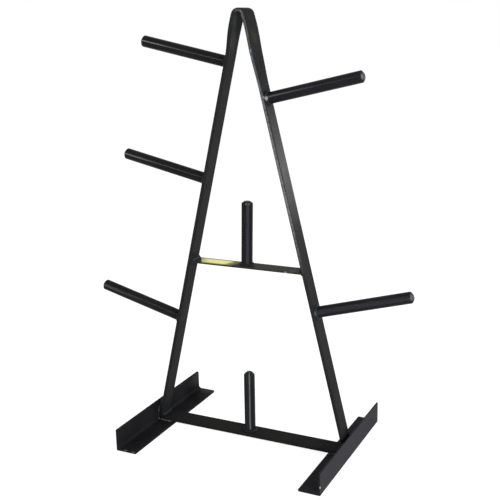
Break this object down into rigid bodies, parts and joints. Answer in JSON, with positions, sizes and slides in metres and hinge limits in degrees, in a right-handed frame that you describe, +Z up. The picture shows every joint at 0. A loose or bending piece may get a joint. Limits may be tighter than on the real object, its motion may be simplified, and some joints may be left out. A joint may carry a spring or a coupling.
{
  "type": "plate tree",
  "caption": "Tall welded A-frame stand on angle-iron feet, with sloping side pegs and upright posts on its cross bars that store weight plates.",
  "frame": {"origin": "floor level under the middle of the stand's whole reach, both across and front to back", "axes": "+Z up, +X towards the leg with the fewer pegs, feet running front to back along Y"},
  "size_m": [0.7626, 0.372, 0.955],
  "materials": {
    "frame_paint": "semi-gloss black paint over rolled flat bar",
    "base_paint": "semi-gloss black paint over rolled flat bar",
    "cross_paint": "gloss black paint with a golden patch on its top",
    "foot_paint": "semi-gloss black paint over rolled angle",
    "peg_paint": "gloss black paint over round bar",
    "weld_paint": "black paint over rippled weld metal"
  },
  "bodies": {
    "root": {"bent_frame": "frame_paint", "base_bar": "base_paint", "cross_bar": "cross_paint", "foot_left": "foot_paint", "foot_right": "foot_paint", "peg_left_upper": "peg_paint", "peg_left_middle": "peg_paint", "peg_left_lower": "peg_paint", "peg_right_upper": "peg_paint", "peg_right_lower": "peg_paint", "post_base": "peg_paint", "post_cross": "peg_paint", "weld_peg_left_upper": "weld_paint", "weld_peg_left_middle": "weld_paint", "weld_peg_left_lower": "weld_paint", "weld_peg_right_upper": "weld_paint", "weld_peg_right_lower": "weld_paint", "weld_post_base": "weld_paint", "weld_post_cross": "weld_paint", "weld_cross_left_top": "weld_paint", "weld_cross_left_under": "weld_paint", "weld_cross_right_top": "weld_paint", "weld_cross_right_under": "weld_paint", "weld_base_left": "weld_paint", "weld_base_right": "weld_paint", "weld_foot_left_front": "weld_paint", "weld_foot_left_back": "weld_paint", "weld_foot_right_front": "weld_paint", "weld_foot_right_back": "weld_paint"}
  },
  "joints": []
}
